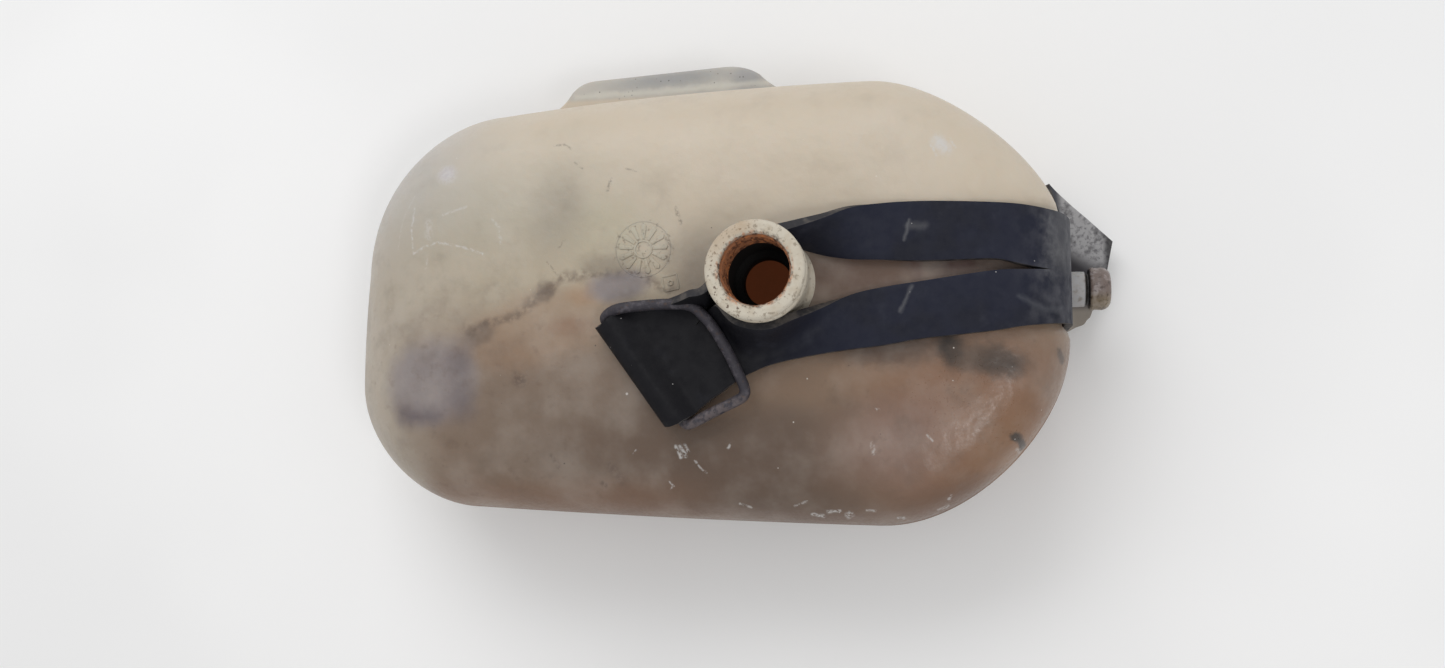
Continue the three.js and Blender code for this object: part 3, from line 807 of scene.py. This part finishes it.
def shell(side, height, centre, hole=None):
    """Half the tank, closed, above (side 1) or below the weld, and its first inner point.

    hole is the radius of an opening at the centre.
    """
    curve, normals = rim_profile(height)

    def ring(inset, lift):
        return np.column_stack([OUTLINE + INWARD * inset, np.full(AROUND, PARTING_Z + side * lift)])

    gap = 0.15
    bead_top = gap + 1.8
    outer = [ring(inset, lift) for inset, lift in (
        (-WELD_BEAD, gap), (-WELD_BEAD, gap + 0.8), (-WELD_BEAD * 0.6, gap + 1.3), (0, bead_top))]
    inner = [ring(WALL, gap)]
    for (inset, lift), (n_in, n_up) in zip(curve, normals):
        if lift > bead_top + 1:
            outer.append(ring(inset, lift))
        if lift - n_up * WALL > gap + 1:
            inner.append(ring(inset - n_in * WALL, lift - n_up * WALL))
    edge = OUTLINE + INWARD * curve[-1][0]
    middle = centre + unit(edge - centre) * (hole or 1.0)
    for step in np.linspace(0, 1, LID_RINGS + 1)[1:]:
        plan = edge * (1 - step) + middle * step
        lift = crown(edge_distance(plan), height)
        outer.append(np.column_stack([plan, PARTING_Z + side * lift]))
        inner.append(np.column_stack([plan, PARTING_Z + side * (lift - WALL)]))
    points = np.concatenate(outer + inner)
    for point in points:
        far_from_weld = smoothstep((abs(point[2] - PARTING_Z) - 3) / 12)
        far_from_hole = smoothstep((dist(point[:2], centre) - (hole or 0) - 3) / 10) if hole else 1
        point[2] += side * 0.45 * far_from_weld * far_from_hole * wave(point, 38, seed=side * 7)
    points[:, 2] = np.maximum(points[:, 2], 0)
    lean_in(points)

    for point in points:
        x, y, z = point
        beside = smoothstep((y + 17) / 5) * smoothstep((34 - y) / 5)
        point[0] -= STRAP_RECESS * beside * smoothstep((x - 112) / 14) * smoothstep((z - 3) / 6)

    start = len(outer) * AROUND
    faces = grid_faces(len(outer), AROUND, close_columns=True)
    faces += grid_faces(len(inner), AROUND, start, close_columns=True)
    ends = [(0, start)]
    if hole:
        ends.append((start - AROUND, len(points) - AROUND))
    for first, second in ends:
        for k in range(AROUND):
            after = (k + 1) % AROUND
            faces.append((first + k, first + after, second + after, second + k))
    if not hole:
        for first in (start - AROUND, len(points) - AROUND):
            faces.append(tuple(first + k for k in range(AROUND)))
    return points, faces, start


def shell_object(name, side, height, centre, hole=None, moulded_on=()):
    """A shell with its inside in the glowing brown material (painted light), and the solids that
    are moulded on to it.
    """
    points, faces, inner_start = shell(side, height, centre, hole)
    inner_faces = [min(face) >= inner_start for face in faces]
    surface = BVHTree.FromPolygons([tuple(p) for p in points], faces)

    def lie_on_top(solid, sink):
        """The solid's points lifted by the shell's height under them, less sink."""
        lifted = []
        for x, y, z in solid[0]:
            top = surface.ray_cast(Vector((x, y, 200)), Vector((0, 0, -1)))[0]
            lifted.append((x, y, z + top[2] - sink))
        return lifted, solid[1]

    solids = [part if sink is None else lie_on_top(part, sink) for part, sink in moulded_on]
    points, faces = joined([(points, faces), *solids])
    obj = mesh_object(name, points, faces, [TANK_PLASTIC, TANK_INSIDE])
    for polygon, is_inner in zip(obj.data.polygons, inner_faces):
        polygon.material_index = 1 if is_inner else 0
    return obj


DATE_MARK = (-15.0, 18.0)
DATE_MARK_RADIUS = 11.0
DATE_MARK_SPOKES = 13
SQUARE_MARK = (-4.0, 4.5)
MARK_HEIGHT = 0.5


def raised_ring(centre, radius, width):
    half = width / 2
    profile = [(radius - half, 0), (radius + half, 0), (radius + half * 0.7, MARK_HEIGHT * 0.8),
               (radius, MARK_HEIGHT), (radius - half * 0.7, MARK_HEIGHT * 0.8)]
    return revolved(profile, (*centre, 0), segments=72)


def raised_bar(centre, angle, corners, count, height, rounding):
    """A flat-topped rib whose corners are given along and across its direction."""
    along = np.array([cos(angle), sin(angle)])
    across = np.array([-along[1], along[0]])
    outline = [np.array(centre) + along * ahead + across * aside for ahead, aside in corners]
    return slab(resampled(outline, count, closed=True), 0, height, rounding)


def moulding_marks():
    """A date clock without figures, and a small square cavity mark."""
    marks = [raised_ring(DATE_MARK, DATE_MARK_RADIUS, 0.5), raised_ring(DATE_MARK, 3.3, 0.8)]
    start, end, width = 4.1, DATE_MARK_RADIUS - 0.9, 2.2
    petal = [(start, -width * 0.25), (end - width * 0.4, -width * 0.5), (end, 0),
             (end - width * 0.4, width * 0.5), (start, width * 0.25)]
    for k in range(DATE_MARK_SPOKES):
        marks.append(raised_bar(DATE_MARK, 2 * pi * k / DATE_MARK_SPOKES + 0.1, petal, 28,
                                MARK_HEIGHT, 0.2))
    side = [(2.6, -2.9), (3.3, -2.9), (3.3, 2.9), (2.6, 2.9)]
    for k in range(4):
        marks.append(raised_bar(SQUARE_MARK, k * pi / 2 + 0.2, side, 24, MARK_HEIGHT * 0.7, 0.15))
    marks.append(raised_ring(SQUARE_MARK, 0.9, 0.7))
    return [(mark, 0.38 if k == 0 else 0.15) for k, mark in enumerate(marks)]


def tab_web():
    """The flat web moulded on to the lower shell, just under the weld."""
    outline = bezier_chain(
        (6, (-68, 78), (-68, 87)), (14, (-68, 87), (-62.5, 88.5), (-58.5, 95)),
        (14, (-58.5, 95), (-54.5, 100.2), (-47.4, 100.6)), (36, (-47.4, 100.6), (8, 103.7)),
        (14, (8, 103.7), (18, 104.4), (24.5, 99.8)), (14, (24.5, 99.8), (31.5, 92.4), (39, 91.4)),
        (6, (39, 91.4), (39, 78)), (40, (39, 78), (-68, 78)))[::-1]
    return slab(resampled(outline, 220, closed=True), TAB_TOP - TAB_THICKNESS, TAB_TOP, 1.4)


def outlet_stub():
    """The lower shell's outlet, which the nipple is pressed on to."""
    inside = 142.0
    end = BARREL_START - 0.25
    profile = [(7.2, inside), (7.2, end - 3), (7.1, end - 0.7), (6.6, end), (4.8, end),
               (4.5, end - 0.4), (4.5, inside)]
    return revolved(profile, (0, NIPPLE_Y, NIPPLE_Z), axis="x", segments=72)


# ---- neck and nipple ----

THREAD_PITCH = 3.2
THREAD_DEPTH = 0.8


def filler_neck():
    """The filler neck: a foot, a round bead, a worn lip, and a thread inside."""
    top = NECK_TOP
    r = LIP_RADIUS
    foot = [(radius, TANK_TOP + rise) for radius, rise in (
        (14.9, -5), (14.9, -0.4), (18.6, -0.4), (18.2, 0.5), (17.2, 1.2), (16.6, 2.4), (16.4, 4))]
    outside = [(radius, top - depth) for radius, depth in (
        (16.4, 12), (16.9, 11.2), (r - 0.3, 10.4), (r, 9.4), (r, 7.8), (r - 0.4, 6.9), (17.0, 6.2),
        (16.9, 5.2), (17.4, 4.4), (r - 0.1, 3.4), (r, 2.6), (r, 1.4), (r - 0.25, 0.7),
        (r - 0.9, 0.15))]
    lip = [(radius, top) for radius in np.linspace(r - 1.5, BORE_RADIUS + 1.3, 6)]
    mouth = [(BORE_RADIUS + 0.5, top - 0.2), (BORE_RADIUS + 0.1, top - 0.7)]
    threaded = [(BORE_RADIUS, top - depth) for depth in np.arange(1.2, 21.5, 0.32)]
    below = [(12.8, top - 22.5), (12.8, top - 32), (12.4, top - 33.6), (11.6, top - 34),
             (THROAT_RADIUS + 0.5, top - 34), (THROAT_RADIUS, top - 34.6),
             (THROAT_RADIUS, TANK_TOP - 5)]

    def wobble(radius, z, angle):
        depth = top - z
        if radius == BORE_RADIUS:
            ridge = max(0.0, cos(2 * pi * z / THREAD_PITCH + angle)) ** 1.3
            fade = smoothstep((depth - 1.6) / 2.0) * smoothstep((21 - depth) / 2.5)
            crust = 0.22 * wave((6 * cos(angle), 6 * sin(angle), z), 1.4, seed=4)
            return radius - THREAD_DEPTH * ridge * fade - abs(crust), z
        if depth < 0.3:
            worn_and_sheen = wave((radius * cos(angle), radius * sin(angle), 0), 3.0, seed=9)
            fine = wave((radius * cos(angle), radius * sin(angle), 0), 0.9, seed=2)
            return radius, z - max(0.0, 0.25 * worn_and_sheen) - max(0.0, 0.3 * fine - 0.05)
        return radius, z

    points, faces = revolved(foot + outside + lip + mouth + threaded + below, (*NECK_CENTRE, 0),
                             segments=192, wobble=wobble)
    neck = mesh_object("filler_neck_visual", points, faces, [neck_plastic()])
    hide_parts("filler_neck")
    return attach(neck, "tank")


def outlet_nipple():
    """The pressed-on barrel at the end of the outlet, with an open bore."""
    start, end = BARREL_START, NIPPLE_END
    r = (NIPPLE_HIGH[2] - NIPPLE_LOW[2]) / 2
    profile = [(4.6, start), (6.3, start), (6.3, start + 0.5), (r - 0.9, start + 0.7),
               (r - 0.15, start + 1.5), (r, start + 2.4), (r - 0.2, start + 3.1),
               (r - 0.2, start + 4.2), (r, end - 3.6), (r - 0.4, end - 2.1), (r - 1.2, end - 0.9),
               (r - 2.3, end - 0.2), (r - 3.1, end), (5.0, end), (4.6, end - 0.5)]
    obj = mesh_object("outlet_barrel", *revolved(profile, (0, NIPPLE_Y, NIPPLE_Z), axis="x",
                                                 segments=96), [nipple_plastic()])
    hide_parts("outlet_nipple")
    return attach(obj, "tank")


# ---- the strap and its bail ----

BAIL = next(joint for joint in frame["joints"] if joint["name"] == "bail_swing")
STRAP_STEPS = 6            # rows between two stations
STRAND_COLUMNS = 8         # faces across each strand
SLIT_STATIONS = (8, 22)    # the slit is open between these stations
LOOP_RADIUS = 2.45         # inside of the fold round the bail
WRAP_RADIUS = 17.5         # inside of the upper strand where it hugs the neck
SHOULDER_RADIUS = 26.6     # how the strap turns from the end wall on to the top


def by_bail(along, across, z):
    """A point at a distance along the bail's axis, southwards from its middle, and across it."""
    middle = np.array(BAIL["pos_m"]) / MM
    axis = np.array(BAIL["axis"])
    side = np.array([-axis[1], axis[0], 0])
    place = middle + axis * along + side * across
    return (place[0], place[1], z)


def shoulder(angle, y):
    """A point where the strap turns over the tank's round edge, by the angle up from the wall."""
    t = radians(angle)
    return (119.6 + SHOULDER_RADIUS * cos(t), y, 62 + SHOULDER_RADIUS * sin(t))


def wrap(angle, z):
    """A point on the neck's body, under its bead, by the angle round from the outlet's side."""
    t = radians(angle)
    return (NECK_CENTRE[0] + WRAP_RADIUS * cos(t), NECK_CENTRE[1] + WRAP_RADIUS * sin(t), z)


def station(*points, fall=1.0):
    """A row across the strap: three points where it is whole, or four where the slit is open."""
    north, *middle, south = points
    return [*north, *middle[0], *middle[-1], *south, fall]


def strap_stations():
    """Underside of the strap, from its foot to the fold's flap. Heights drop faster with fall."""
    rest = STRAP_Z
    stations = [
        station((170.8, 28.6, 8.6), (167.5, 13, 8), (160.4, -3.6, 8)),
        station((157.5, 41.2, 9.4), (159.5, 16.5, 8.6), (157, -6.8, 8.4)),
        station((143.2, 53.6, 11), (150.2, 19, 10.5), (151.8, -8.6, 10.5)),
        station((145.5, 41, 18.5), (147.4, 12, 16.5), (147.6, -10.6, 17)),
        station((146, 31.5, 28), (146.2, 8.5, 26), (146.2, -11.6, 26)),
        station((146.2, 28.6, 44), (146.2, 7.2, 44), (146.2, -12, 44)),
        *(station(*(shoulder(angle, y) for y in ys)) for angle, *ys in
          ((0, 28.0, 6.8, -12.2), (24, 28.6, 6.6, -12.8), (44, 29.3, 6.6, -13.6),
           (70, 30.4, 7.9, 6.0, -15.0))),
        *(station(*((x, y, rest) for y in ys)) for x, *ys in
          ((120, 31.2, 10.0, 5.7, -16.5), (106, 32.1, 10.1, 4.1, -17.9),
           (92, 32.6, 10.1, 2.2, -19.2))),
        station((78, 32.2, 90.5), (79, 11, rest), (80, 0.6, rest), (78, -21.5, rest)),
        station((66, 30.6, 96.5), (68, 12.4, rest), (66, -2.2, rest), (66, -22.8, rest)),
        station((56, 27.2, 101), (58, 15, rest), (55, -5.6, 93), (55, -24.3, rest)),
        station((45, 24.0, 105.5), (47, 19, rest), wrap(-50, 102), (45, -26, rest)),
        station(wrap(90, 107), wrap(88, 88.5), wrap(-84, 107), (35.5, -28.2, 88.8)),
        station(wrap(135, 107), wrap(135, 88.5), wrap(-118, 107), (28.5, -31, 89.6)),
        station(wrap(172, 107), wrap(172, 88.5), wrap(-150, 103), (24.4, -33.3, 90.2)),
        station((11.6, 0.2, 106), (12.6, -5.5, 88.5), (13, -7.5, 93.4), (21.6, -35.2, 90.8)),
        station((6.5, -0.8, 104), (9, -9.6, 91.2), (9.2, -10.6, 91.3), (19.4, -36.9, 91.2),
                fall=1.6),
        station(by_bail(-13.5, 27.5, 101), by_bail(-1, 26, 91.6), by_bail(25.4, 20, 91.4),
                fall=2.6),
        station(by_bail(-17.1, 20.8, 96), by_bail(0, 19, 91.9), by_bail(25.3, 14, 91.9), fall=4),
        station(by_bail(-22.6, 14.0, 93.2), by_bail(2, 13, 92), by_bail(25.6, 9.5, 92), fall=3),
        station(by_bail(-23.4, 8.4, 92.6), by_bail(3, 8, 92.4), by_bail(26, 6.2, 92.6)),
    ]
    axle = BAIL["pos_m"][2] / MM
    loop = [(55, -23.2, 26), (90, -22.8, 25.8), (125, -22.6, 25), (155, -23.6, 23.6),
            (185, -24.3, 22.4), (220, -24.3, 22), (255, -24, 21.6)]
    rows = [(LOOP_RADIUS * cos(radians(degrees)),
             axle + LOOP_RADIUS * sin(radians(degrees)), *ends)
            for degrees, *ends in loop]
    rows += [(across, axle - LOOP_RADIUS, north, south)
             for across, north, south in ((5, -21.5, 20.5), (10, -18.5, 20.3), (15, -17, 20))]
    return stations + [station(*(by_bail(along, across, z) for along in (north, 0, south)))
                       for across, z, north, south in rows]


def strap():
    """The whole strap as one bent sheet with a slit, given its thickness and round edges."""
    rows = catmull_rom(strap_stations(), STRAP_STEPS)
    slit_from, slit_to = (k * STRAP_STEPS for k in SLIT_STATIONS)
    points, grid = [], []
    for k, row in enumerate(rows):
        north, north_inner, south_inner, south = row[:12].reshape(4, 3)
        fall = max(1.0, row[12])
        open_here = slit_from < k < slit_to
        if not open_here:
            north_inner = south_inner = (north_inner + south_inner) / 2
        strands = []
        for a, b, power in ((north, north_inner, fall), (south_inner, south, 3)):
            if not strands or open_here:
                points.append(a)
            strands.append([len(points) - 1])
            for u in np.linspace(0, 1, STRAND_COLUMNS + 1)[1:]:
                place = a + (b - a) * u
                place[2] = b[2] + (a[2] - b[2]) * (1 - u) ** power
                strands[-1].append(len(points))
                points.append(place)
        grid.append(strands)
    faces = []
    for here, ahead in zip(grid, grid[1:]):
        for a, b in zip(here, ahead):
            faces += [(a[j], b[j], b[j + 1], a[j + 1]) for j in range(STRAND_COLUMNS)]
    mesh = bpy.data.meshes.new("strap")
    mesh.from_pydata([tuple(p * MM) for p in points], [], faces)
    obj = in_scene("strap", mesh)
    mesh.materials.append(strap_rubber())
    mesh.materials.append(strap_edge())
    modifier(obj, "SOLIDIFY", thickness=STRAP_THICKNESS * MM, offset=1, use_even_offset=True,
             material_offset_rim=1)
    modifier(obj, "BEVEL", width=0.55 * MM, segments=2, limit_method="ANGLE",
             angle_limit=radians(50))
    apply_modifiers(obj)
    obj.data.shade_smooth()
    rest = obj.data.attributes.new("rest", "FLOAT_VECTOR", "POINT")
    flat = np.zeros(len(obj.data.vertices) * 3, np.float32)
    obj.data.vertices.foreach_get("co", flat)
    rest.data.foreach_set("vector", flat)
    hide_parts("strap_anchor", "strap_upper_strand", "strap_lower_strand", "strap_tongue")
    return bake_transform(obj)


def bail():
    """The wire: out of the fold, over the tongue, round two corners and back in."""
    axle = BAIL["pos_m"][2] / MM
    path = [by_bail(-2, 0, axle), by_bail(-12, 0, axle), by_bail(-20, 0, axle),
            by_bail(-23.2, -0.6, axle + 0.3), (-27.9, -9.4, 95.6), (-24.4, -7.2, 97.6),
            (-18.8, -6.2, 99.0), (-7.1, -5.4, 99.4), (3.0, -5.5, 99.3), (7.2, -6.6, 99.1),
            (10.3, -9.2, 98.8), (14.5, -14.1, 98.0), (19.6, -22.6, 97.0), (23.6, -30.9, 96.0),
            (26.2, -37.0, 95.5), (25.9, -40.2, 95.3), (22.4, -42.4, 95.1), (13.8, -46.4, 94.7),
            (7.4, -49.6, 94.2), (4.0, -50.6, 94.0), by_bail(23.8, 1.0, axle),
            by_bail(20.5, 0, axle), by_bail(10, 0, axle), by_bail(0, 0, axle)]
    path = resampled(catmull_rom(path, 10), 260)
    obj = mesh_object("bail_wire_visual", *tube(path, WIRE_RADIUS), [bail_wire()])
    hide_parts("wire_bail")
    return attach(obj, "bail")


# ---- camera, floor and light ----

def make_camera():
    """Looks down on the tank from a little to its right and in front, as in the photograph."""
    target = Vector((9.0, -11.5, 46.0)) * MM
    back = Vector((tan(radians(10.2)), -tan(radians(6.0)), 1.0)).normalized()
    right = Vector((0, 1, 0)).cross(back).normalized()
    up = back.cross(right)
    data = bpy.data.cameras.new("camera")
    data.sensor_width = 36
    data.lens = 32.86
    camera = in_scene("camera", data)
    place = Matrix((right, up, back)).transposed().to_4x4()
    place.translation = target + back * 0.55
    camera.matrix_world = place
    bpy.context.scene.camera = camera


def area_light(name, place, aim, size, power):
    data = bpy.data.lights.new(name, "AREA")
    data.shape = "RECTANGLE"
    data.size, data.size_y = size
    data.energy = power
    light = in_scene(name, data)
    light.location = place
    light.rotation_euler = (Vector(aim) - Vector(place)).to_track_quat("-Z", "Y").to_euler()


def make_studio():
    """A pale floor under a bright even sky, with two large soft lamps."""
    half = 4.0 / MM
    floor = mesh_object("studio_floor", [(-half, -half, 0), (half, -half, 0), (half, half, 0),
                                         (-half, half, 0)], [(0, 1, 2, 3)], [floor_paint()])
    world = bpy.data.worlds.new("studio")
    bpy.context.scene.world = world
    world.use_nodes = True
    sky = world.node_tree.nodes["Background"]
    sky.inputs["Color"].default_value = (1, 1, 1, 1)
    sky.inputs["Strength"].default_value = 0.57
    area_light("window", (-0.35, 1.1, 1.3), (0, 0, 0.05), (1.4, 0.9), 10.4)
    area_light("lamp", (0.75, -0.55, 1.5), (0.05, -0.02, 0.05), (0.5, 0.35), 4)
    view = bpy.context.scene.view_settings
    view.view_transform = "Standard"
    view.look = "None"


make_camera()
make_studio()

TANK_PLASTIC = tank_plastic()
TANK_INSIDE = inner_plastic()
upper = shell_object("tank_upper", 1, TANK_TOP - PARTING_Z, NECK_CENTRE, hole=15.6,
                     moulded_on=moulding_marks())
lower = shell_object("tank_lower", -1, PARTING_Z, np.zeros(2),
                     moulded_on=[(tab_web(), None), (outlet_stub(), None)])
for half, node in ((upper, "upper_shell"), (lower, "lower_shell")):
    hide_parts(node)
    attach(half, "tank")
filler_neck()
outlet_nipple()
strap()
bail()
